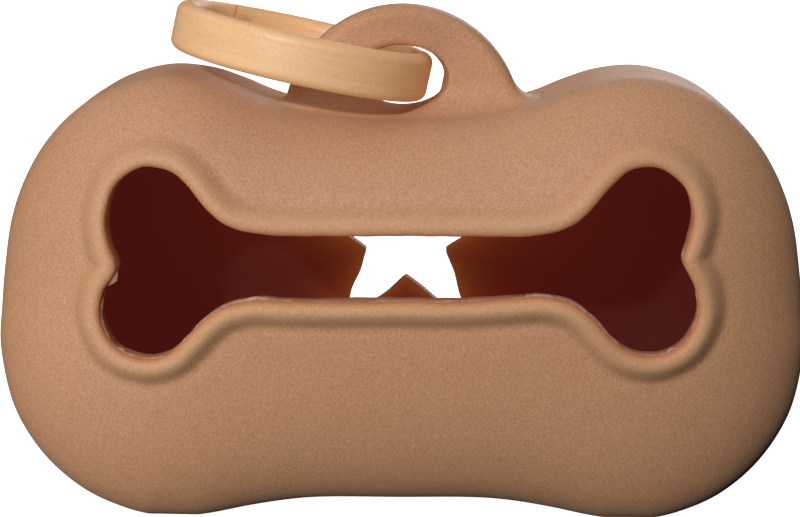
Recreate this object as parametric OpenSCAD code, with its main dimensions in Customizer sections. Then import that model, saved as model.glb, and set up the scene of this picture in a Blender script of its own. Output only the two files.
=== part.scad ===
// Bone-shaped dispenser for a roll of dog waste bags, with a sprung carry ring.
// One soft silicone moulding holds the roll; a flat-band gate ring runs
// through the hole in its tab.  Millimetres, +Z up as it is carried, front
// face towards -Y, origin under the middle of the two lower lobes.

/* [Pouch] */
// Front face of the pouch, measured forward of the parting plane
front_d = 18.8; // [16:0.1:20]
// Back face of the pouch, measured behind the parting plane
back_d = 20; // [17:0.1:22]
// Half depth of the upright rim around the pouch
rim_d = 7; // [5:0.1:9]
// Wall thickness of the moulding
wall = 3; // [2:0.1:4]
// Exponent of the pillow curve (2 is an ellipse, more is boxier)
pillow = 2.2; // [2:0.05:3]

/* [Loading slot] */
// Width of the raised lip around the bone-shaped slot
lip_w = 2.7; // [2:0.1:3.2]
// Height of the lip above the front face
lip_h = 1.2; // [0.6:0.05:1.3]

/* [Star outlet] */
// Height of the middle of the star hole above the base
star_z = 28.5; // [27:0.1:31]
// Radius to the points of the star
star_r = 14.15; // [10:0.1:15]
// Radius to the inner corners of the star
star_in = 5.2; // [4:0.1:6]

/* [Tab] */
// Outer radius of the tab
tab_r = 13.7; // [13:0.1:14.5]
// Height of the centre of the tab's arc
tab_z = 44.75; // [44:0.05:46]
// Thickness of the tab
tab_t = 6; // [5:0.1:6.5]
// Half width of the oval hole
hole_a = 5.3; // [5.2:0.05:5.6]
// Half height of the oval hole
hole_b = 3.65; // [3.6:0.05:3.9]
// Height of the middle of the oval hole
hole_z = 50.3; // [50:0.1:50.5]

/* [Ring] */
// Outside diameter of the ring
ring_od = 30; // [30:0.1:31]
// Radial thickness of the band
band_t = 2.6; // [2.4:0.05:2.7]
// Height of the band along the ring's axis
band_h = 5.5; // [5:0.05:5.6]
// Corner radius of the band
band_r = 1.15; // [0.8:0.01:1.18]
// Sideways lean of the ring at rest, degrees
lean = 12.5; // [10:0.5:14]
// Forward pitch of the ring at rest, degrees (negative: its back hangs lower)
pitch = -1; // [-2:0.5:3]
// Angle of the gate's pivot round the ring, degrees
pivot_a = 57; // [52:1:60]
// Radius of the pivot pin
pin_r = 0.5; // [0.4:0.01:0.55]
// Running clearance between the pin and the gate
run_c = 0.05; // [0.03:0.01:0.08]

/* [Hidden] */

silicone = [0.75, 0.57, 0.44];
beech = [0.86, 0.69, 0.52];
steel = [0.7, 0.7, 0.72];

// Right half of the pouch's outline, [x, z], from under the middle round to
// the saddle under the tab.
half_outline = [
    [0, 2.25], [8, 2.25], [12.5, 1.95], [17, 1.25], [21.5, 0.3], [24.8, -0.15],
    [28.4, -0.12], [32.2, 0.8], [36.4, 2.75], [40.2, 5.85], [43.1, 9.65], [45, 13.95],
    [46, 20], [45.7, 24.85], [45.2, 29.7], [44.4, 34.6], [42.9, 38.95],
    [40.5, 43.15], [37.2, 46.75], [33, 49.5], [27.8, 50.95], [22.8, 50.65],
    [18.8, 49.4], [15, 47.85], [10, 46.65], [0, 45.95]
];

// Right half of the loading slot's outline, [x, z], from the middle of the
// bar's lower edge round to the middle of its upper edge.
half_slot = [
    [0, 27.4], [6, 27.3], [12, 27.3], [15.8, 27.4], [19.1, 26.65],
    [21.4, 25.05], [23.2, 23.2], [25.3, 21.3], [28.2, 20.7], [31.3, 22],
    [32.8, 25.05], [32.4, 28.05], [30.9, 30.75], [31.7, 33.4], [32, 36.35],
    [30.9, 39.8], [28.2, 41.75], [25.2, 41.55], [23.1, 40], [21, 37.5],
    [18.6, 35.6], [15.3, 34.75], [11, 34.55], [0, 34.55]
];

// A closed outline from its right half.
function mirrored(h) = concat(h, [for (i = [len(h) - 2:-1:1]) [-h[i].x, h[i].y]]);

// Smooth closed curve through the points p, n steps a span, starting at
// ph of a step.
function blend(a, b, c, d, u) = 0.5 * ((2 * b) + (c - a) * u
    + (2 * a - 5 * b + 4 * c - d) * u * u + (3 * b - a - 3 * c + d) * u * u * u);
function curve(p, n, ph = 0) = let (m = len(p)) [for (i = [0:m - 1], k = [0:n - 1])
    blend(p[(i + m - 1) % m], p[i], p[(i + 1) % m], p[(i + 2) % m], (k + ph) / n)];

// The pouch stands on flats, so nothing of its outline is below z = 0.
function flat0(p) = [for (q = p) [q.x, q.y < 0.04 ? 0 : q.y]];
outline = flat0(curve(mirrored(half_outline), 4));

// The pillow closes towards a short spine at this height and half length.
spine_z = 28.25;
spine_x = 20;
function spine(p) = [min(max(p.x, -spine_x), spine_x), spine_z];
function swell(s) = pow(1 - pow(1 - s, pillow), 1 / pillow);

// Distance from the spine to the outline, for the ray through the point p:
// by x along the spine, by angle round its ends.
function rev(v) = [for (i = [len(v) - 1:-1:0]) v[i]];
reach_top = rev([for (p = outline) if (p.y > spine_z && p.x > -1 && p.x <= spine_x + 4) [p.x, p.y - spine_z]]);
reach_low = [for (p = outline) if (p.y < spine_z && p.x > -1 && p.x <= spine_x + 4) [p.x, spine_z - p.y]];
reach_end = [for (p = outline) if (p.x > spine_x - 1)
    [atan2(p.y - spine_z, p.x - spine_x), norm(p - [spine_x, spine_z])]];
function reach(p) = let (ax = abs(p.x))
    ax <= spine_x ? lookup(ax, p.y > spine_z ? reach_top : reach_low)
    : lookup(atan2(p.y - spine_z, ax - spine_x), reach_end);

// Where the point p lies between the outline (0) and the spine (1), for the
// outline moved inward by w; and the half depth of the pillow there.
function share(p, w = 0) = 1 - norm(p - spine(p)) / (reach(p) - w);
function depth(p, rim, face, w = 0) = rim + (face - rim) * swell(max(share(p, w), 0));
// The point on the ray through p at the share s.
function on_ray(p, s, w = 0) = let (c = spine(p), v = p - c) c + v / norm(v) * (reach(p) - w) * (1 - s);

// Stations round the slot: its edge, and the outer foot of the lip.
slot_edge = curve(mirrored(half_slot), 2);
stations = len(slot_edge);
function beside(i, w) = let (d = slot_edge[(i + 1) % stations] - slot_edge[(i + stations - 1) % stations])
    slot_edge[i] + [d.y, -d.x] / norm(d) * w;
lip_foot = [for (i = [0:stations - 1]) beside(i, lip_w)];

// Shares of the face's rings between the outline and the lip, and on the back.
face_steps = [0, 0.02, 0.06, 0.14, 0.25, 0.4, 0.58, 0.8, 1];
back_steps = [0, 0.015, 0.05, 0.11, 0.19, 0.29, 0.41, 0.55, 0.7, 0.85];
inner_steps = [0, 0.06, 0.18, 0.36, 0.6, 0.85];
// Lip section: distance from the slot's edge and height above the face.
lip_profile = [[0.94, 0.2], [0.83, 0.58], [0.62, 0.88], [0.36, 1], [0.12, 0.93], [0, 0.7]];

// One loop of stations: the points p at the depth y.
function front_loop(s) = [for (i = [0:stations - 1]) let (q = lip_foot[i], p = flat_foot(on_ray(q, s * share(q))))
    [p.x, -depth(p, rim_d, front_d), p.y]];
function flat_foot(p) = [p.x, p.y < 0.04 ? 0 : p.y];
function lip_loop(k) = [for (i = [0:stations - 1]) let (p = beside(i, lip_w * lip_profile[k].x))
    [p.x, -depth(p, rim_d, front_d) - lip_h * lip_profile[k].y, p.y]];
function back_loop(s) = [for (q = lip_foot) let (p = flat_foot(on_ray(q, s)))
    [p.x, rim_d + (back_d - rim_d) * swell(s), p.y]];
function room_loop(s) = [for (q = lip_foot) let (p = on_ray(q, s, wall))
    [p.x, rim_d - 1 + (back_d - wall - rim_d + 1) * swell(s), p.y]];
function room_front(s) = [for (q = lip_foot) let (p = on_ray(q, s * share(q, wall), wall))
    [p.x, -depth(p, rim_d - 1, front_d - wall, wall), p.y]];
slot_inside = [for (p = slot_edge) [p.x, -depth(p, rim_d - 1, front_d - wall, wall), p.y]];

// The pouch: one skin that runs from the back over the rim and the lip,
// through the slot and round the room inside.
module pouch() {
    loops = concat([for (s = rev(back_steps)) back_loop(s)],
        [for (s = face_steps) front_loop(s)],
        [for (k = [0:len(lip_profile) - 1]) lip_loop(k)],
        [slot_inside], [for (s = rev(inner_steps)) if (s > 0.7 || s < 0.5) room_front(s > 0.7 ? 1 : s / 0.4)],
        [for (s = inner_steps) room_loop(s)]);
    n = stations;
    m = len(loops);
    polyhedron([for (l = loops, p = l) p],
        concat([[for (i = [0:n - 1]) i]],
            [for (j = [0:m - 2], i = [0:n - 1], t = [0, 1])
                let (k = (i + 1) % n, a = j * n + i, b = j * n + k, c = a + n, d = b + n)
                t == 0 ? [a, c, b] : [b, c, d]],
            [[for (i = [n - 1:-1:0]) (m - 1) * n + i]]), convexity = 10);
}

// Tab: a round-ended plate that flares into the saddle of the pouch.
module tab_plate() {
    f = 1.5;
    fx = sqrt(pow(tab_r + f, 2) - pow(48.95 - tab_z, 2));
    a0 = atan2(48.95 - tab_z, fx);
    side = [for (i = [0:4]) let (a = 270 - (90 - a0) * i / 4) [fx + f * cos(a), 48.95 + f * sin(a)]];
    top = [for (i = [1:23]) let (a = a0 + (180 - 2 * a0) * i / 24) [tab_r * cos(a), tab_z + tab_r * sin(a)]];
    edge = concat([[fx, 44.85]], side, top, [for (i = [4:-1:0]) [-side[i].x, side[i].y]], [[-fx, 44.85]]);
    for (s = [[tab_t, 0], [tab_t - 1.2, 0.6]])
        translate([0, s[0] / 2, 0]) rotate([90, 0, 0])
            linear_extrude(s[0]) polygon(s[1] == 0 ? [for (p = edge) let (v = p - [0, tab_z])
                p.y > 48.75 ? [0, tab_z] + v * (1 - 0.6 / norm(v)) : p] : edge);
}
module tab_flare() {
    r = 3.85;
    arc = [for (i = [0:5]) let (a = 180 + 90 * i / 5) [tab_t / 2 + r + r * cos(a), 49.5 + r * sin(a)]];
    translate([-12.5, 0, 0]) rotate([90, 0, 90]) linear_extrude(25)
        polygon(concat(arc, [[5, 44.8], [-5, 44.8]], [for (i = [5:-1:0]) [-arc[i].x, arc[i].y]]));
}

// The moulding is one smooth skin of small facets.
module shell() color(silicone)
    resize([0, 0, 0]) difference() {
        union() {
            pouch();
            tab_plate();
            tab_flare();
        }
        // star-shaped outlet in the back
        translate([0, 24, star_z]) rotate([90, 0, 0]) linear_extrude(18)
            polygon([for (i = [0:9]) let (a = 90 + 36 * i, r = i % 2 == 0 ? star_r : star_in)
                [r * cos(a), r * sin(a)]]);
        // oval hole for the ring
        translate([0, 12, hole_z]) rotate([90, 0, 0]) linear_extrude(24)
            polygon([for (i = [0:47]) [hole_a * cos(7.5 * i), hole_b * sin(7.5 * i)]]);
    }

// ---- ring -------------------------------------------------------------
ring_r = (ring_od - band_t) / 2;
// Where the band crosses the tab
cross = [1.8, 0, 50.2];
// Pivot pin, in the ring's own plane
piv = [ring_r * cos(pivot_a), ring_r * sin(pivot_a), 0];
knuckle = band_t / 2 - 0.05;
gap = 0.15;
// Where the nose of the ring and the tip of the gate meet
nose_x = -9.2;
lap_x = -7.7;

module on_ring() translate(cross) rotate([pitch, 0, 0]) rotate([0, lean, 0])
    translate([-ring_r, 0, 0]) children();

module band_section() translate([ring_r, 0]) {
    a = band_t / 2;
    b = band_h / 2;
    r = band_r;
    square([2 * a - 2 * r, 2 * b], center = true);
    square([2 * a, 2 * b - 2 * r], center = true);
    for (x = [-1, 1], y = [-1, 1]) translate([x * (a - r), y * (b - r)]) circle(r, $fn = 48);
}
module band() rotate_extrude($fn = 120) band_section();

// Half plane side of the pivot: the gate lies beyond it, counter-clockwise.
module gate_side() rotate([0, 0, pivot_a]) translate([-20, 0, -5]) cube([40, 22, 10]);
module at_pivot(z0, z1, r) translate([piv.x, piv.y, z0]) cylinder(h = z1 - z0, r = r, $fn = 48);

module ring_body() color(beech) on_ring() difference() {
    union() {
        difference() {
            band();
            // opening for the gate
            intersection() {
                gate_side();
                translate([nose_x, 0, -5]) cube([40, 22, 10]);
            }
        }
        // lap of the nose, outside the gate's tip
        intersection() {
            band();
            translate([nose_x - 0.5, 2, -5]) cube([lap_x - nose_x + 0.5, 20, 10]);
            difference() {
                translate([0, 0, -5]) cylinder(h = 10, r = ring_od / 2 + 1, $fn = 120);
                translate([0, 0, -6]) cylinder(h = 12, r = ring_r + 0.1, $fn = 120);
            }
        }
        // ears of the pivot
        intersection() {
            band();
            at_pivot(-5, 5, knuckle);
        }
    }
    // room for the gate's knuckle and the spring
    at_pivot(-1.2, 1.2, knuckle + gap);
    // hole for the pin
    at_pivot(-6, 6, pin_r);
}

module ring_gate() color(beech) on_ring() difference() {
    union() {
        difference() {
            intersection() {
                band();
                gate_side();
                translate([lap_x + 0.3, 0, -5]) cube([40, 22, 10]);
            }
            at_pivot(-6, 6, knuckle + gap + 0.05);
        }
        // tip, inside the nose's lap
        intersection() {
            band();
            translate([nose_x + 0.15, 2, -5]) cube([4, 20, 10]);
            translate([0, 0, -5]) cylinder(h = 10, r = ring_r, $fn = 120);
        }
        // knuckle between the ears
        intersection() {
            band();
            at_pivot(-1.05, 0.25, knuckle);
        }
        intersection() {
            band();
            gate_side();
            at_pivot(-1.05, 0.25, knuckle + 1.2);
        }
    }
    at_pivot(-6, 6, pin_r + run_c);
}

module gate_pin() color(steel) on_ring() at_pivot(-band_h / 2 + 0.1, band_h / 2 - 0.1, pin_r);

// Torsion coil round the pin, drawn as a plain sleeve.
module gate_spring() color(steel) on_ring() difference() {
    at_pivot(0.4, 1.1, 1);
    at_pivot(0, 2, 0.6);
}

shell();
ring_body();
ring_gate();
gate_pin();
gate_spring();
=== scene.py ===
import math

import bmesh
import bpy
import numpy as np
from mathutils import Matrix, Vector


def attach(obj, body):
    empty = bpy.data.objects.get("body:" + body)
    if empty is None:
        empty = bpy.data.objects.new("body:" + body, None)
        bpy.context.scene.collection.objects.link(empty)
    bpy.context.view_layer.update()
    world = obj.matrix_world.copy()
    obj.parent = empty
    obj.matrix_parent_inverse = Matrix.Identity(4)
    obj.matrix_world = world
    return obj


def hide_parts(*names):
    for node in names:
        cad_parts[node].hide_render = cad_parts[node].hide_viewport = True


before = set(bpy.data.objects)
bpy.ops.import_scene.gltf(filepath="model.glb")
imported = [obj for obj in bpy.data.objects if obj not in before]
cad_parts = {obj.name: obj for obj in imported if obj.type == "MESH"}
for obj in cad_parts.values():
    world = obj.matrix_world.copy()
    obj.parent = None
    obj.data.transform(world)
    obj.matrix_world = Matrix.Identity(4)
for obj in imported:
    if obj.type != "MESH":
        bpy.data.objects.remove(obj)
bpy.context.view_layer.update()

MM = 0.001
CELL = 0.34          # mm, grid of the moulding's skin

# ---------------------------------------------------------------------------
# The moulding, as one smooth field in millimetres.  The same outline, slot and
# star as the construction model, with the soft blends that a mould gives.
# ---------------------------------------------------------------------------
HALF_OUTLINE = [
    (0, 2.25), (8, 2.25), (12.5, 1.95), (17, 1.25), (21.5, 0.3), (24.8, -0.15),
    (28.4, -0.12), (32.2, 0.8), (36.4, 2.75), (40.2, 5.85), (43.1, 9.65), (45, 13.95),
    (46, 20), (45.7, 24.85), (45.2, 29.7), (44.4, 34.6), (42.9, 38.95),
    (40.5, 43.15), (37.2, 46.75), (33, 49.5), (27.8, 50.95), (22.8, 50.65),
    (18.8, 49.4), (15, 47.85), (10, 46.65), (0, 45.95)]
HALF_SLOT = [
    (0, 27.4), (6, 27.3), (12, 27.3), (15.8, 27.4), (19.1, 26.65), (21.4, 25.05),
    (23.2, 23.2), (25.3, 21.3), (28.2, 20.7), (31.3, 22), (32.8, 25.05),
    (32.4, 28.05), (30.9, 30.75), (31.7, 33.4), (32, 36.35), (30.9, 39.8),
    (28.2, 41.75), (25.2, 41.55), (23.1, 40), (21, 37.5), (18.6, 35.6),
    (15.3, 34.75), (11, 34.55), (0, 34.55)]
# The soft moulding sits a little unevenly: the slot's right end is drawn up.
RIGHT_SLOT = [
    (0, 27.4), (6, 27.35), (12, 27.7), (15.8, 27.95), (19.1, 27.15), (21.4, 25.4),
    (23.2, 23.45), (25.3, 21.8), (28.2, 21.3), (31.15, 22.6), (32.75, 25.6),
    (32.45, 28.75), (31, 31.7), (31.6, 34.1), (32.1, 36.7), (31.1, 39.85),
    (28.3, 41.85), (25.3, 41.7), (23.1, 40), (21, 37.5), (18.6, 35.6),
    (15.3, 34.75), (11, 34.55), (0, 34.55)]
RIM, FRONT, BACK, WALL, POW = 7.0, 18.8, 20.0, 3.0, 2.2
SPINE_X, SPINE_Z = 20.0, 28.25
LIP_W, LIP_H = 2.7, 1.2
STAR_Z, STAR_R, STAR_IN = 28.5, 14.15, 5.2
TAB_R, TAB_Z, TAB_T = 13.7, 44.75, 6.0
HOLE_A, HOLE_B, HOLE_Z = 5.3, 3.65, 50.3


def smooth_loop(half, n, left=None):
    """Closed curve through a half outline and the mirror image of the left one."""
    pts = np.array(half + [(-x, z) for x, z in (left or half)[-2:0:-1]], float)
    a, b, c, d = (np.roll(pts, k, 0)[:, None, :] for k in (1, 0, -1, -2))
    u = (np.arange(n) / n)[None, :, None]
    return (0.5 * (2 * b + (c - a) * u + (2 * a - 5 * b + 4 * c - d) * u ** 2
                   + (3 * b - a - 3 * c + d) * u ** 3)).reshape(-1, 2)


outline = smooth_loop(HALF_OUTLINE, 12)
outline[:, 1] = np.maximum(outline[:, 1], 0)
slot = smooth_loop(RIGHT_SLOT, 8, HALF_SLOT)
star = np.array([[r * math.cos(a), STAR_Z + r * math.sin(a)] for k in range(10)
                 for a, r in [(math.radians(90 + 36 * k), STAR_R if k % 2 == 0 else STAR_IN)]])

# Distance from the spine to the outline, by x along it and by angle at its ends.
m = (outline[:, 0] >= -1) & (outline[:, 0] <= SPINE_X + 4)
top = outline[m & (outline[:, 1] > SPINE_Z)]
top = top[np.argsort(top[:, 0])]
low = outline[m & (outline[:, 1] < SPINE_Z)]
low = low[np.argsort(low[:, 0])]
end = outline[outline[:, 0] > SPINE_X - 1]
end_a = np.arctan2(end[:, 1] - SPINE_Z, end[:, 0] - SPINE_X)
end_r = np.hypot(end[:, 0] - SPINE_X, end[:, 1] - SPINE_Z)
order = np.argsort(end_a)
end_a, end_r = end_a[order], end_r[order]


def ray(x, z):
    """Distance to the spine, and from the spine to the outline that way."""
    ax = np.abs(x)
    along = ax <= SPINE_X
    reach = np.where(z > SPINE_Z, np.interp(ax, top[:, 0], top[:, 1] - SPINE_Z),
                     np.interp(ax, low[:, 0], SPINE_Z - low[:, 1]))
    round_end = np.interp(np.arctan2(z - SPINE_Z, ax - SPINE_X), end_a, end_r)
    r = np.where(along, np.abs(z - SPINE_Z), np.hypot(ax - SPINE_X, z - SPINE_Z))
    return r, np.where(along, reach, round_end)


def loop_distance(px, pz, loop):
    """Signed distance to a closed loop, negative inside."""
    out = np.full(px.shape, 1e9)
    inside = np.zeros(px.shape, bool)
    q = np.roll(loop, -1, 0)
    for (x0, z0), (x1, z1) in zip(loop, q):
        dx, dz = x1 - x0, z1 - z0
        t = np.clip(((px - x0) * dx + (pz - z0) * dz) / max(dx * dx + dz * dz, 1e-12), 0, 1)
        out = np.minimum(out, (px - x0 - t * dx) ** 2 + (pz - z0 - t * dz) ** 2)
        if z0 != z1:
            cross = (z0 > pz) != (z1 > pz)
            inside ^= cross & (px < (x1 - x0) * (pz - z0) / (z1 - z0) + x0)
    return np.where(inside, -1, 1) * np.sqrt(out)


def blurred(a, sigma):
    k = int(3 * sigma) + 1
    w = np.exp(-0.5 * (np.arange(-k, k + 1) / sigma) ** 2)
    w /= w.sum()
    for axis in (0, 1):
        p = np.pad(a, [(k, k) if i == axis else (0, 0) for i in (0, 1)], mode="edge")
        a = sum(w[j] * (p[j:j + a.shape[0]] if axis == 0 else p[:, j:j + a.shape[1]])
                for j in range(2 * k + 1))
    return a


def step01(a, lo, hi):
    t = np.clip((a - lo) / (hi - lo), 0, 1)
    return t * t * (3 - 2 * t)


# Plane maps over x and z.
MAP = 0.25
map_x = np.arange(-50, 50 + MAP / 2, MAP)
map_z = np.arange(-4, 64 + MAP / 2, MAP)
gx, gz = np.meshgrid(map_x, map_z, indexing="ij")
r_, reach_ = ray(gx, gz)


def centre_share(w):
    """1 - share: 0 on the spine and 1 on the outline, its crease smoothed."""
    c = r_ / (reach_ - w)
    soft = blurred(c, 1.6 / MAP)
    return c + (soft - c) * step01(1 - c, 0.02, 0.3)


def slope(a):
    g = np.gradient(a, MAP)
    return np.maximum(np.hypot(g[0], g[1]), 1e-3)


c_out, c_in = centre_share(0.0), centre_share(WALL)
maps = {
    "c_out": c_out, "g_out": slope(c_out), "c_in": c_in, "g_in": slope(c_in),
    "slot": loop_distance(gx, gz, slot), "star": loop_distance(gx, gz, star),
    "hole": np.sign((gx / HOLE_A) ** 2 + ((gz - HOLE_Z) / HOLE_B) ** 2 - 1)
    * np.abs(np.hypot(gx / HOLE_A, (gz - HOLE_Z) / HOLE_B) - 1)
    * np.hypot(gx / HOLE_A, (gz - HOLE_Z) / HOLE_B)
    / np.maximum(np.hypot(gx / HOLE_A ** 2, (gz - HOLE_Z) / HOLE_B ** 2), 1e-3),
}


def at(x, z):
    """The plane maps at the points x, z, by linear interpolation."""
    u = np.clip((x - map_x[0]) / MAP, 0, len(map_x) - 1.001)
    v = np.clip((z - map_z[0]) / MAP, 0, len(map_z) - 1.001)
    i, j = u.astype(int), v.astype(int)
    s, t = u - i, v - j
    return {k: (a[i, j] * (1 - s) * (1 - t) + a[i + 1, j] * s * (1 - t)
                + a[i, j + 1] * (1 - s) * t + a[i + 1, j + 1] * s * t) for k, a in maps.items()}


def pillow(c, g, y, rim, front, back):
    """Distance outside the pillow (negative inside)."""
    face = np.where(y < 0, front - rim, back - rim)
    q = np.maximum(np.abs(y) - rim, 0) / face
    big = np.maximum((np.maximum(c, 0) ** POW + q ** POW) ** (1 / POW), 1e-4)
    a = (np.maximum(c, 1e-6) / big) ** (POW - 1) * g
    b = (q / big) ** (POW - 1) / face
    return (big - 1) / np.maximum(np.hypot(a, b), 1e-3)


def round_join(a, b, r):
    """Union of two bodies with a fillet of radius r."""
    u, v = np.maximum(r - a, 0), np.maximum(r - b, 0)
    return np.maximum(r, np.minimum(a, b)) - np.hypot(u, v)


def round_cut(a, b, r):
    """Common part of two bodies with its edges rounded to radius r."""
    u, v = np.maximum(r + a, 0), np.maximum(r + b, 0)
    return np.minimum(-r, np.maximum(a, b)) + np.hypot(u, v)


def ripple(x, y, z, scale, seed):
    """Gentle smooth noise from a few sines, about -1 to 1."""
    rng = np.random.RandomState(seed)
    out = 0
    for _ in range(5):
        k = rng.normal(size=3)
        k *= scale * rng.uniform(0.6, 1.6) / np.linalg.norm(k)
        out = out + np.sin(k[0] * x + k[1] * y + k[2] * z + rng.uniform(0, 6.3))
    return out / 2.5


def lip_height(d):
    """Section of the raised lip, from the slot's edge outward."""
    t = d / LIP_W
    rise = 1 - 0.34 * np.clip((0.44 - t) / 0.44, 0, 1.4) ** 2
    fall = 0.5 * (1 + np.cos(np.pi * np.clip((t - 0.44) / 0.8, 0, 1)))
    return LIP_H * np.where(t < 0.44, rise, fall)


def moulding(x, y, z, p):
    """Distance outside the silicone (negative inside it), in millimetres."""
    d_slot, d_star = p["slot"], p["star"]
    lip = lip_height(d_slot) * step01(-y, 9.5, 12.5)
    # a shallow groove where the lip meets the face
    lip = lip - 0.06 * np.exp(-((d_slot - LIP_W * 1.2) / 0.8) ** 2) * step01(-y, 9.5, 12.5)
    body = pillow(p["c_out"], p["g_out"], np.where(y < 0, np.minimum(y + lip, 0), y), RIM, FRONT, BACK)
    # the parting line of the mould, a low ridge round the rim
    body = body + 0.06 - 0.06 * np.exp(-(y / 0.3) ** 2)
    # hand-made softness: the skin isn't perfectly even
    body = body + 0.065 + 0.045 * np.clip(ripple(x, y, z, 0.22, 3), -1, 1)
    room = pillow(p["c_in"], p["g_in"], y, RIM - 1, FRONT - WALL, BACK - WALL)
    # tab
    disc = np.hypot(x, z - TAB_Z) - TAB_R
    e = 1.25
    u, v = disc + e, np.abs(y) - TAB_T / 2 + e
    tab = np.hypot(np.maximum(u, 0), np.maximum(v, 0)) - e + np.minimum(np.maximum(u, v), 0)
    r = 3.7 - (2.5 - 1.5 * step01(x, 0, 9)) * step01(np.abs(x), 9.5, 13.6)
    outer = round_join(body, tab, r)
    # the wall of the hole leans in towards the back at its right end
    lean_in = 0.6 * np.clip((y + 2.4) / 5.2, 0, 1) * step01(x, 0.5, 4.6) * step01(z, 47.8, 49.8)
    outer = round_cut(outer, -(p["hole"] + lean_in), 0.9 - 0.55 * step01(x, -1.0, 4.0))
    wall = round_cut(outer, -room, 0.25)
    # loading slot
    edge = d_slot + 0.05 * ripple(x, y, z, 1.3, 11)
    wall = np.where(y < 4, round_cut(wall, np.where(y < 0, -edge, -9.0), 0.42), wall)
    # star outlet, its corners cut by hand
    cut = d_star - 0.12 * ripple(x, y * 0.3, z, 1.1, 5) + 0.05
    wall = np.where(y > 6, round_cut(wall, -cut, 0.3), wall)
    return wall


def surface_net(field, xs, ys, zs):
    """Quads on the zero surface of a sampled field, negative inside."""
    inside = field < 0
    nx, ny, nz = field.shape
    count = np.zeros((nx - 1, ny - 1, nz - 1), np.uint8)
    for i in (0, 1):
        for j in (0, 1):
            for k in (0, 1):
                count += inside[i:nx - 1 + i, j:ny - 1 + j, k:nz - 1 + k]
    active = (count > 0) & (count < 8)
    number = np.full(active.shape, -1, np.int64)
    ci, cj, ck = np.nonzero(active)
    number[ci, cj, ck] = np.arange(len(ci))
    total = np.zeros((len(ci), 3))
    hits = np.zeros(len(ci))
    corners = [(i, j, k) for i in (0, 1) for j in (0, 1) for k in (0, 1)]
    for a in corners:
        for b in corners:
            if sum(b) - sum(a) == 1 and sum(abs(p - q) for p, q in zip(a, b)) == 1:
                fa = field[ci + a[0], cj + a[1], ck + a[2]]
                fb = field[ci + b[0], cj + b[1], ck + b[2]]
                on = (fa < 0) != (fb < 0)
                t = np.where(on, fa / np.where(on, fa - fb, 1), 0)
                for axis in range(3):
                    total[:, axis] += np.where(on, a[axis] + t * (b[axis] - a[axis]), 0)
                hits += on
    at_cell = total / hits[:, None] + np.stack([ci, cj, ck], 1)
    step = np.array([xs[1] - xs[0], ys[1] - ys[0], zs[1] - zs[0]])
    verts = at_cell * step + np.array([xs[0], ys[0], zs[0]])
    quads = []
    for axis in range(3):
        lo = [slice(None)] * 3
        hi = [slice(None)] * 3
        lo[axis], hi[axis] = slice(0, -1), slice(1, None)
        a, b = inside[tuple(lo)], inside[tuple(hi)]
        i, j, k = np.nonzero(a != b)
        o1, o2 = [(1, 2), (2, 0), (0, 1)][axis]
        index = np.stack([i, j, k], 1)
        ok = (index[:, o1] > 0) & (index[:, o2] > 0)
        index = index[ok]
        flip = b[i[ok], j[ok], k[ok]]
        four = []
        for s, t in ((0, 0), (1, 0), (1, 1), (0, 1)):
            n = index.copy()
            n[:, o1] -= s
            n[:, o2] -= t
            four.append(number[n[:, 0], n[:, 1], n[:, 2]])
        q = np.stack(four, 1)
        q[flip] = q[flip][:, ::-1]
        quads.append(q)
    return verts, np.concatenate(quads)


def field_at(pts):
    return moulding(pts[:, 0], pts[:, 1], pts[:, 2], at(pts[:, 0], pts[:, 2]))


def build_skin():
    xs = np.arange(-47.2, 47.3, CELL)
    ys = np.arange(-21.2, 21.3, CELL)
    zs = np.arange(-1.1, 61.2, CELL)
    px, pz = np.meshgrid(xs, zs, indexing="ij")
    plane = at(px, pz)
    field = np.empty((len(xs), len(ys), len(zs)), np.float32)
    for j, y in enumerate(ys):
        field[:, j, :] = moulding(px, np.full_like(px, y), pz, plane)
    verts, quads = surface_net(field, xs, ys, zs)
    del field
    # even the vertices out along the surface, then put them back on it
    edges = np.concatenate([quads[:, [0, 1]], quads[:, [1, 2]], quads[:, [2, 3]], quads[:, [3, 0]]])
    n = len(verts)
    degree = np.bincount(edges.ravel(), minlength=n)
    for turn in range(3):
        total = np.stack([np.bincount(edges[:, 0], verts[edges[:, 1], k], n)
                          + np.bincount(edges[:, 1], verts[edges[:, 0], k], n) for k in range(3)], 1)
        verts = verts + 0.5 * (total / degree[:, None] - verts)
        for _ in range(2):
            f = field_at(verts)
            h = 0.12
            g = np.stack([field_at(verts + h * np.eye(3)[k]) - field_at(verts - h * np.eye(3)[k])
                          for k in range(3)], 1) / (2 * h)
            gg = np.maximum((g ** 2).sum(1), 0.2)
            move = -(f / gg)[:, None] * g
            far = np.linalg.norm(move, axis=1, keepdims=True)
            verts = verts + move * np.minimum(1, 0.2 / np.maximum(far, 1e-9))
    return verts, quads


skin_v, skin_q = build_skin()


def mesh_object(name, verts, faces, smooth=True):
    mesh = bpy.data.meshes.new(name)
    verts = np.asarray(verts, np.float32)
    faces = np.asarray(faces, np.int32)
    mesh.vertices.add(len(verts))
    mesh.vertices.foreach_set("co", verts.ravel())
    mesh.loops.add(faces.size)
    mesh.loops.foreach_set("vertex_index", faces.ravel())
    mesh.polygons.add(len(faces))
    mesh.polygons.foreach_set("loop_start", np.arange(0, faces.size, faces.shape[1], dtype=np.int32))
    mesh.polygons.foreach_set("use_smooth", np.full(len(faces), smooth))
    mesh.update(calc_edges=True)
    mesh.validate()
    obj = bpy.data.objects.new(name, mesh)
    bpy.context.scene.collection.objects.link(obj)
    return obj


moulded = mesh_object("silicone_pouch", skin_v * MM, skin_q)


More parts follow.
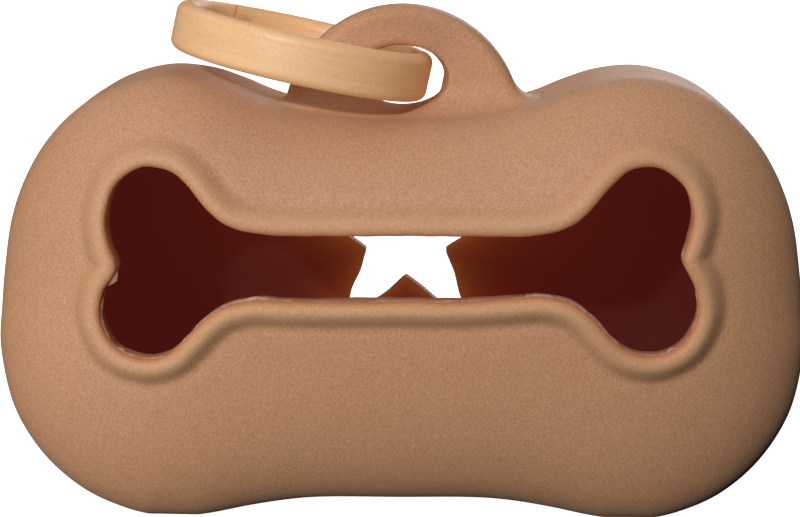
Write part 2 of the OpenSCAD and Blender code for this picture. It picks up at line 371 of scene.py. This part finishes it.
def paint(obj):
    """Marks how far inside each point is, and how near the star's edge."""
    co = np.zeros(len(obj.data.vertices) * 3, np.float32)
    obj.data.vertices.foreach_get("co", co)
    co = co.reshape(-1, 3).astype(float) / MM
    p = at(co[:, 0], co[:, 2])
    room = pillow(p["c_in"], p["g_in"], co[:, 1], RIM - 1, FRONT - WALL, BACK - WALL)
    # painted shade: the material paints the room's skin, marked by inner, a deep red-brown and gives it a painted glow
    inner = 1 - step01(room, 0.15, 2.3)                 # 1 on the room's skin
    # slot_edge marks where the material paints a glow and a more orange colour, painted light through the slot's edge
    slot_edge = step01(-p["slot"], -0.9, 0.2) * (co[:, 1] < 0)
    # star_near marks where the material paints the room lighter and glowing, painted light through the wall round the
    # star
    star_near = np.exp(-np.maximum(p["star"], 0) / 3.6) * (co[:, 1] > 0)
    # lip marks the raised lip's crest, which the material paints lighter as a painted highlight
    lip = step01(p["slot"], 0.1, 0.8) * step01(-p["slot"], -2.7, -1.7) * step01(-co[:, 1], 9.5, 12.5) * (1 - inner)
    for name, value in (("inner", inner), ("slot_edge", slot_edge), ("star_near", star_near), ("lip", lip)):
        attribute = obj.data.attributes.new(name, "FLOAT", "POINT")
        attribute.data.foreach_set("value", value.astype(np.float32))


paint(moulded)


def front_y(x, z):
    """Front surface of the moulding at points x, z on the slot's edge."""
    c = at(x, z)["c_out"]
    return -(RIM + (FRONT - RIM) * np.maximum(1 - c ** POW, 0) ** (1 / POW)) - 0.7 * LIP_H


def flash_film():
    """Thin ragged film that the mould left along the slot's lower edge."""
    loop = smooth_loop(RIGHT_SLOT, 40, HALF_SLOT)
    step = np.linalg.norm(np.roll(loop, -1, 0) - loop, axis=1)
    s = np.concatenate([[0], np.cumsum(step)[:-1]])
    total = step.sum()
    x, z = loop[:, 0], loop[:, 1]
    tangent = np.roll(loop, -1, 0) - np.roll(loop, 1, 0)
    tangent /= np.linalg.norm(tangent, axis=1, keepdims=True)
    inward = np.stack([-tangent[:, 1], tangent[:, 0]], 1)
    probe = at(x + 0.5 * inward[:, 0], z + 0.5 * inward[:, 1])["slot"]
    inward[probe > 0] *= -1
    rng = np.random.RandomState(21)
    # low along the bar and round the lower lobes, nothing along the top
    width = 0.16 * step01(-z, -30.7, -26.9)
    width += 0.2 * np.exp(-((x - 16.6) / 3.2) ** 2) * (z < 30.2) + 0.12 * np.exp(-((x + 15.8) / 3.4) ** 2) * (z < 30.2)
    width += 0.14 * np.exp(-((x - 29.2) / 2.6) ** 2) * (z < 25.2)
    rough = 0
    for k in (9, 23, 51, 97):
        rough = rough + np.sin(2 * math.pi * k * s / total + rng.uniform(0, 6.3)) / (1 + k / 60)
    width = width * (1 + 0.3 * rough)
    # torn teeth: place, half width and height in mm
    for tx, tz, half, high in ((-30.6, 21.50, 0.8, 0.4), (-31.5, 29.70, 1.2, 0.6), (-16.2, 27.10, 0.5, 0.2),
                               (30.0, 21.70, 0.9, 0.5), (31.2, 32.60, 0.55, 0.3), (14.2, 27.90, 0.6, 0.36),
                               (17.6, 27.70, 0.9, 0.36), (19.6, 26.90, 0.8, 0.3), (28.2, 21.30, 1.2, 0.2)):
        d = np.hypot(x - tx, z - tz)
        width = np.maximum(width, high * np.maximum(0, 1 - d / half) ** 0.8)
    keep = width > 0.015
    y = front_y(x, z)
    rings = []
    for off, dy in ((-0.35, 0.75), (0.3, 0.72), (1.0, 0.82)):
        w = off if off < 0 else width * off
        for thick in (0.0,):
            rings.append(np.stack([x + inward[:, 0] * w, y + dy, z + inward[:, 1] * w], 1))
    for off, dy in ((1.0, 0.9), (0.3, 0.98), (-0.35, 1.0)):
        w = off if off < 0 else width * off
        rings.append(np.stack([x + inward[:, 0] * w, y + dy, z + inward[:, 1] * w], 1))
    n = len(x)
    verts = np.concatenate(rings)
    faces = []
    for i in range(n):
        j = (i + 1) % n
        if keep[i] and keep[j]:
            for r in range(6):
                q = (r + 1) % 6
                faces.append((r * n + i, r * n + j, q * n + j, q * n + i))
        elif keep[i] or keep[j]:
            k = i if keep[i] else j
            cap = tuple(r * n + k for r in range(6))
            faces.append(cap if keep[i] else cap[::-1])
    used = sorted({v for f in faces for v in f})
    number = {v: k for k, v in enumerate(used)}
    mesh = bpy.data.meshes.new("slot_flash")
    mesh.from_pydata([tuple(verts[v] * MM) for v in used], [], [tuple(number[v] for v in f) for f in faces])
    mesh.validate()
    work = bmesh.new()
    work.from_mesh(mesh)
    bmesh.ops.recalc_face_normals(work, faces=work.faces)
    work.to_mesh(mesh)
    work.free()
    obj = bpy.data.objects.new("slot_flash", mesh)
    bpy.context.scene.collection.objects.link(obj)
    return obj


film = flash_film()

# ---------------------------------------------------------------------------
# Materials
# ---------------------------------------------------------------------------


class Nodes:
    """Short hand for building a node tree."""

    def __init__(self, name):
        self.material = bpy.data.materials.new(name)
        self.material.use_nodes = True
        self.tree = self.material.node_tree
        self.tree.nodes.clear()
        self.out = self.tree.nodes.new("ShaderNodeOutputMaterial")
        self.bsdf = self.tree.nodes.new("ShaderNodeBsdfPrincipled")
        self.link(self.bsdf.outputs[0], self.out.inputs["Surface"])

    def link(self, a, b):
        self.tree.links.new(a, b)

    def node(self, kind, **values):
        n = self.tree.nodes.new(kind)
        for k, v in values.items():
            setattr(n, k, v)
        return n

    def object_coords(self, scale=(1, 1, 1), rotation=(0, 0, 0), location=(0, 0, 0)):
        c = self.node("ShaderNodeTexCoord")
        m_ = self.node("ShaderNodeMapping")
        m_.inputs["Scale"].default_value = scale
        m_.inputs["Rotation"].default_value = rotation
        m_.inputs["Location"].default_value = location
        self.link(c.outputs["Object"], m_.inputs["Vector"])
        return m_.outputs[0]

    def noise(self, vector, scale, detail=2.0, rough=0.5):
        n = self.node("ShaderNodeTexNoise")
        n.inputs["Scale"].default_value = scale
        n.inputs["Detail"].default_value = detail
        n.inputs["Roughness"].default_value = rough
        self.link(vector, n.inputs["Vector"])
        return n.outputs["Fac"]

    def ramp(self, value, stops, mode="LINEAR"):
        n = self.node("ShaderNodeValToRGB")
        n.color_ramp.interpolation = mode
        while len(n.color_ramp.elements) < len(stops):
            n.color_ramp.elements.new(0.5)
        for e, (pos, colour) in zip(n.color_ramp.elements, stops):
            e.position = pos
            e.color = (*colour, 1) if len(colour) == 3 else (colour[0],) * 3 + (1,)
        self.link(value, n.inputs["Fac"])
        return n.outputs["Color"]

    def mix(self, factor, a, b, mode="MIX"):
        n = self.node("ShaderNodeMix", data_type="RGBA", blend_type=mode)
        for value, socket in ((factor, n.inputs[0]), (a, n.inputs[6]), (b, n.inputs[7])):
            if isinstance(value, bpy.types.NodeSocket):
                self.link(value, socket)
            elif isinstance(value, (int, float)):
                socket.default_value = value
            else:
                socket.default_value = (*value, 1)
        return n.outputs[2]

    def math(self, kind, a, b=0.0, clamp=False, third=0.0):
        n = self.node("ShaderNodeMath", operation=kind, use_clamp=clamp)
        for value, socket in ((a, n.inputs[0]), (b, n.inputs[1]), (third, n.inputs[2])):
            if isinstance(value, bpy.types.NodeSocket):
                self.link(value, socket)
            else:
                socket.default_value = value
        return n.outputs[0]

    def attribute(self, name):
        n = self.node("ShaderNodeAttribute", attribute_name=name)
        return n.outputs["Fac"]

    def bump(self, height, distance, strength=1.0, before=None):
        n = self.node("ShaderNodeBump")
        n.inputs["Strength"].default_value = strength
        n.inputs["Distance"].default_value = distance
        self.link(height, n.inputs["Height"])
        if before is not None:
            self.link(before, n.inputs["Normal"])
        return n.outputs[0]


def srgb(r, g, b):
    return tuple((c / 12.92 if c <= 0.04045 else ((c + 0.055) / 1.055) ** 2.4)
                 for c in (r / 255, g / 255, b / 255))


def silicone():
    n = Nodes("matte_silicone")
    v = n.object_coords()
    broad = n.noise(v, 55, 2.0, 0.5)           # cloudy, about 20 mm
    patch = n.noise(v, 420, 3.0, 0.55)         # about 2 mm
    grain = n.noise(v, 4600, 2.0, 0.65)        # about 0.2 mm
    speck = n.noise(v, 2100, 1.0, 0.5)
    base = n.ramp(broad, [(0.3, srgb(196, 143, 104)), (0.7, srgb(201, 150, 113))])
    base = n.mix(0.2, base, n.ramp(patch, [(0.32, srgb(192, 138, 99)), (0.68, srgb(205, 153, 115))]))
    base = n.mix(0.6, base, n.ramp(grain, [(0.3, srgb(172, 119, 82)), (0.5, srgb(198, 146, 107)), (0.72, srgb(222, 171, 129))]))
    # bloom of fine dust in the grain's hollows
    base = n.mix(n.ramp(speck, [(0.62, (0.0,)), (0.76, (0.16,))]), base, srgb(222, 178, 140))
    # the lip's crest is painted a little lighter and yellower, a painted highlight where the raised bead catches the
    # light from above
    base = n.mix(n.math("MULTIPLY", n.attribute("lip"), 0.28), base, srgb(222, 172, 126))
    # inside, the room's skin is painted a deep red-brown, painted shade for the dark room; round the star's edge it is
    # painted lighter and more orange, painted light coming through the wall
    room_shade_and_star_light = n.ramp(n.noise(v, 260, 3.0, 0.6), [(0.3, srgb(30, 9, 6)), (0.7, srgb(38, 11, 7))])
    near = n.math("MULTIPLY", n.attribute("star_near"), n.attribute("star_near"))
    room_shade_and_star_light = n.mix(n.math("MULTIPLY", near, 0.9, True), room_shade_and_star_light, srgb(150, 84, 44))
    colour = n.mix(n.attribute("inner"), base, room_shade_and_star_light)
    # painted glow: emission inside stands in for daylight coming through the thin wall, strongest round the star, and
    # a warm emission along the slot's edge stands in for light coming through it
    wide = n.math("POWER", n.attribute("star_near"), 0.45)
    through = n.mix(n.noise(v, 90, 2.0, 0.5), (0.051, 0.0057, 0.0042), (0.057, 0.0063, 0.0045))
    through = n.mix(wide, through, (0.096, 0.0094, 0.0042))
    through = n.mix(near, through, (0.150, 0.036, 0.0090))
    rim = n.math("MULTIPLY", n.attribute("slot_edge"), n.math("SUBTRACT", 1.0, n.attribute("inner")))
    glow = n.mix(rim, (0.0, 0.0, 0.0), (0.070, 0.020, 0.0050))
    glow = n.mix(n.attribute("inner"), glow, through)
    n.link(glow, n.bsdf.inputs["Emission Color"])
    n.bsdf.inputs["Emission Strength"].default_value = 1.0
    # the edge round the slot is painted more orange, painted light standing in for the light it lets through
    colour = n.mix(n.math("MULTIPLY", n.attribute("slot_edge"), 0.55), colour, srgb(190, 118, 66))
    n.link(colour, n.bsdf.inputs["Base Color"])
    rough = n.ramp(grain, [(0.3, (0.62,)), (0.7, (0.52,))])
    n.link(rough, n.bsdf.inputs["Roughness"])
    n.link(n.math("MULTIPLY_ADD", n.attribute("inner"), -0.34, third=0.38), n.bsdf.inputs["Specular IOR Level"])
    n.bsdf.inputs["Sheen Weight"].default_value = 0.06
    n.bsdf.inputs["Sheen Roughness"].default_value = 0.45
    first = n.bump(grain, 0.00006, 0.55)
    n.link(n.bump(patch, 0.00012, 0.2, first), n.bsdf.inputs["Normal"])
    return n.material


def film_look():
    """The thin edge of the moulding, greyer than the rest."""
    n = Nodes("silicone_film")
    v = n.object_coords()
    n.link(n.ramp(n.noise(v, 1500, 3.0, 0.6), [(0.3, srgb(146, 102, 82)), (0.7, srgb(184, 140, 116))]), n.bsdf.inputs["Base Color"])
    fine = n.noise(v, 4200, 2.0, 0.6)
    n.link(n.ramp(fine, [(0.3, (0.55,)), (0.7, (0.42,))]), n.bsdf.inputs["Roughness"])
    n.link(n.bump(fine, 0.00005, 0.4), n.bsdf.inputs["Normal"])
    return n.material


def ring_finish(name, swing=0.0):
    """Beige moulding with faint streaks along the band."""
    n = Nodes(name)
    # polar coordinates round the ring's own axis give streaks along the band
    v = n.object_coords(location=(0, 0, 0))
    n_tex = n.node("ShaderNodeTexCoord")
    place = n.node("ShaderNodeMapping")
    place.vector_type = "TEXTURE"
    centre = RING_CENTRE * MM
    place.inputs["Location"].default_value = centre
    place.inputs["Rotation"].default_value = RING_ROTATION
    n.link(n_tex.outputs["Object"], place.inputs["Vector"])
    split = n.node("ShaderNodeSeparateXYZ")
    n.link(place.outputs[0], split.inputs[0])
    angle = n.math("ARCTAN2", split.outputs[1], split.outputs[0])
    away = n.math("POWER", n.math("ADD", n.math("MULTIPLY", split.outputs[0], split.outputs[0]),
                                  n.math("MULTIPLY", split.outputs[1], split.outputs[1])), 0.5)
    band = n.node("ShaderNodeCombineXYZ")
    n.link(n.math("SINE", angle), band.inputs[0])
    n.link(n.math("MULTIPLY", away, 260.0), band.inputs[1])
    n.link(n.math("MULTIPLY", split.outputs[2], 260.0), band.inputs[2])
    streak = n.noise(band.outputs[0], 5.5, 4.0, 0.62)
    wide = n.noise(band.outputs[0], 1.7, 2.0, 0.5)
    grain = n.noise(v, 3000, 2.0, 0.6)
    base = n.ramp(streak, [(0.28, srgb(224, 172, 120)), (0.5, srgb(236, 190, 140)), (0.74, srgb(246, 207, 162))])
    base = n.mix(0.35, base, n.ramp(wide, [(0.3, srgb(228, 176, 124)), (0.7, srgb(246, 209, 165))]))
    base = n.mix(0.3, base, n.ramp(grain, [(0.3, srgb(212, 164, 116)), (0.7, srgb(240, 203, 158))]))
    # painted shade: the band's corners are painted a little darker and more orange, standing in for shade and warm
    # light bounced off the silicone
    edge = n.math("ABSOLUTE", split.outputs[2])
    edge_shade = n.node("ShaderNodeMapRange", interpolation_type="SMOOTHSTEP")
    edge_shade.inputs["From Min"].default_value = 0.0019
    edge_shade.inputs["From Max"].default_value = 0.00285
    n.link(edge, edge_shade.inputs["Value"])
    base = n.mix(n.math("MULTIPLY", edge_shade.outputs[0], 0.42), base, srgb(204, 138, 84))
    # a small darker spot painted beside the gate's tip
    spot = n.node("ShaderNodeVectorMath", operation="DISTANCE")
    n.link(place.outputs[0], spot.inputs[0])
    spot.inputs[1].default_value = (-0.0082, 0.0098, 0.0006)
    dark_spot = n.node("ShaderNodeMapRange", interpolation_type="SMOOTHSTEP")
    dark_spot.inputs["From Min"].default_value = 0.0018
    dark_spot.inputs["From Max"].default_value = 0.0003
    n.link(n.math("ADD", spot.outputs["Value"], n.math("MULTIPLY", n.math("SUBTRACT", n.noise(v, 1400, 2.0, 0.6), 0.5), 0.0012)), dark_spot.inputs["Value"])
    base = n.mix(n.math("MULTIPLY", dark_spot.outputs[0], 0.7), base, srgb(176, 120, 78))
    n.link(base, n.bsdf.inputs["Base Color"])
    n.link(n.ramp(streak, [(0.3, (0.5,)), (0.7, (0.4,))]), n.bsdf.inputs["Roughness"])
    n.bsdf.inputs["Specular IOR Level"].default_value = 0.42
    # painted glow: a little emission stands in for light passing through the milky band and lifts its shaded sides
    n.bsdf.inputs["Emission Color"].default_value = (1.0, 0.48, 0.2, 1)
    n.bsdf.inputs["Emission Strength"].default_value = 0.13
    first = n.bump(streak, 0.00012, 0.35)
    n.link(n.bump(grain, 0.00005, 0.35, first), n.bsdf.inputs["Normal"])
    return n.material


def steel():
    n = Nodes("pin_steel")
    v = n.object_coords(scale=(1, 1, 12))
    lines = n.noise(v, 900, 3.0, 0.6)
    n.link(n.ramp(lines, [(0.3, srgb(150, 148, 146)), (0.7, srgb(200, 199, 197))]), n.bsdf.inputs["Base Color"])
    n.link(n.ramp(lines, [(0.3, (0.42,)), (0.7, (0.28,))]), n.bsdf.inputs["Roughness"])
    n.bsdf.inputs["Metallic"].default_value = 1.0
    n.link(n.bump(lines, 0.00003, 0.4), n.bsdf.inputs["Normal"])
    return n.material


# The ring's own frame, as the construction model leans and pitches it.
RING_R = 13.7
lean, pitch = math.radians(12.5), math.radians(-1)
turn = Matrix.Rotation(pitch, 3, "X") @ Matrix.Rotation(lean, 3, "Y")
RING_CENTRE = Vector((1.8, 0, 50.2)) + turn @ Vector((-RING_R, 0, 0))
RING_ROTATION = turn.to_euler("XYZ")

moulded.data.materials.append(silicone())
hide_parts("shell")
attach(moulded, "pouch")

film.data.materials.append(film_look())
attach(film, "pouch")

band_look = ring_finish("ring_beige")
pin_look = steel()
for node in ("ring_body", "ring_gate"):
    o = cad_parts[node]
    o.data.materials.clear()
    o.data.materials.append(band_look)
for node in ("gate_pin", "gate_spring"):
    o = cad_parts[node]
    o.data.materials.clear()
    o.data.materials.append(pin_look)

# ---------------------------------------------------------------------------
# Stage, light and camera
# ---------------------------------------------------------------------------


def stage_floor():
    """Wide pale floor that sweeps up far behind the object."""
    prof = [(-1.6, 0.0), (0.9, 0.0)]
    for k in range(1, 9):
        a = math.radians(90 * k / 8)
        prof.append((0.9 + 0.5 * math.sin(a), 0.5 - 0.5 * math.cos(a)))
    prof.append((1.4, 2.2))
    verts, faces = [], []
    for k, (y, z) in enumerate(prof):
        verts += [(-2.4, y, z), (2.4, y, z)]
        if k:
            faces.append((2 * k - 2, 2 * k - 1, 2 * k + 1, 2 * k))
    mesh = bpy.data.meshes.new("studio_floor")
    mesh.from_pydata(verts, [], faces)
    mesh.polygons.foreach_set("use_smooth", [True] * len(faces))
    o = bpy.data.objects.new("studio_floor", mesh)
    bpy.context.scene.collection.objects.link(o)
    n = Nodes("pale_floor")
    v = n.object_coords()
    n.link(n.ramp(n.noise(v, 30, 3.0, 0.5), [(0.3, (0.86, 0.86, 0.86)), (0.7, (0.9, 0.9, 0.9))]), n.bsdf.inputs["Base Color"])
    n.bsdf.inputs["Roughness"].default_value = 0.85
    n.bsdf.inputs["Specular IOR Level"].default_value = 0.1
    n.bsdf.inputs["Emission Color"].default_value = (1, 1, 1, 1)
    n.bsdf.inputs["Emission Strength"].default_value = 1.05
    mesh.materials.append(n.material)
    return o


floor = stage_floor()
floor.visible_diffuse = False
floor.visible_glossy = False
floor.visible_shadow = False


def area(name, place, aim, size, power, colour=(1, 1, 1)):
    light = bpy.data.lights.new(name, "AREA")
    light.shape = "DISK"
    light.size = size
    light.energy = power
    light.color = colour
    o = bpy.data.objects.new(name, light)
    o.location = place
    o.rotation_euler = (Vector(aim) - Vector(place)).to_track_quat("-Z", "Y").to_euler()
    bpy.context.scene.collection.objects.link(o)
    return o


def around(azimuth, elevation, distance, aim=(0, 0, 0.03)):
    a, e = math.radians(azimuth), math.radians(elevation)
    return (Vector(aim) + distance * Vector((math.sin(a) * math.cos(e), -math.cos(a) * math.cos(e), math.sin(e))))


key = area("key_light", around(-17, 22, 1.1), (0, 0, 0.03), 0.05, 6.9)
side = area("low_side_light", (-0.11, -0.13, -0.01), (0, 0, 0.03), 0.08, 0.066)
fill = area("back_fill", around(165, 14, 1.3), (0, 0, 0.03), 0.7, 3.0)

world = bpy.data.worlds.new("studio")
bpy.context.scene.world = world
world.use_nodes = True
wt = world.node_tree
wt.nodes.clear()
w_out = wt.nodes.new("ShaderNodeOutputWorld")
w_bg = wt.nodes.new("ShaderNodeBackground")
w_tc = wt.nodes.new("ShaderNodeTexCoord")
w_sep = wt.nodes.new("ShaderNodeSeparateXYZ")
w_ramp = wt.nodes.new("ShaderNodeMapRange")
w_ramp.interpolation_type = "SMOOTHSTEP"
w_ramp.inputs["From Min"].default_value = 0.25
w_ramp.inputs["From Max"].default_value = 1.0
w_ramp.inputs["To Min"].default_value = 0.0
w_ramp.inputs["To Max"].default_value = 0.8
wt.links.new(w_tc.outputs["Generated"], w_sep.inputs[0])
wt.links.new(w_sep.outputs[2], w_ramp.inputs["Value"])
wt.links.new(w_ramp.outputs[0], w_bg.inputs["Strength"])
wt.links.new(w_bg.outputs[0], w_out.inputs["Surface"])

CAM_AZ, CAM_EL, CAM_D = 1.5, 10.0, 0.280
cam_data = bpy.data.cameras.new("camera")
cam_data.sensor_width = 36
cam_data.lens = 2398 / 800 * 36
cam = bpy.data.objects.new("camera", cam_data)
target = Vector((-0.0003, 0, 0.02885))
cam.location = around(CAM_AZ, CAM_EL, CAM_D, target)
cam.rotation_mode = "QUATERNION"
cam.rotation_quaternion = (target - cam.location).to_track_quat("-Z", "Y")
bpy.context.scene.collection.objects.link(cam)
bpy.context.scene.camera = cam

view = bpy.context.scene.view_settings
view.view_transform = "Standard"
view.look = "None"
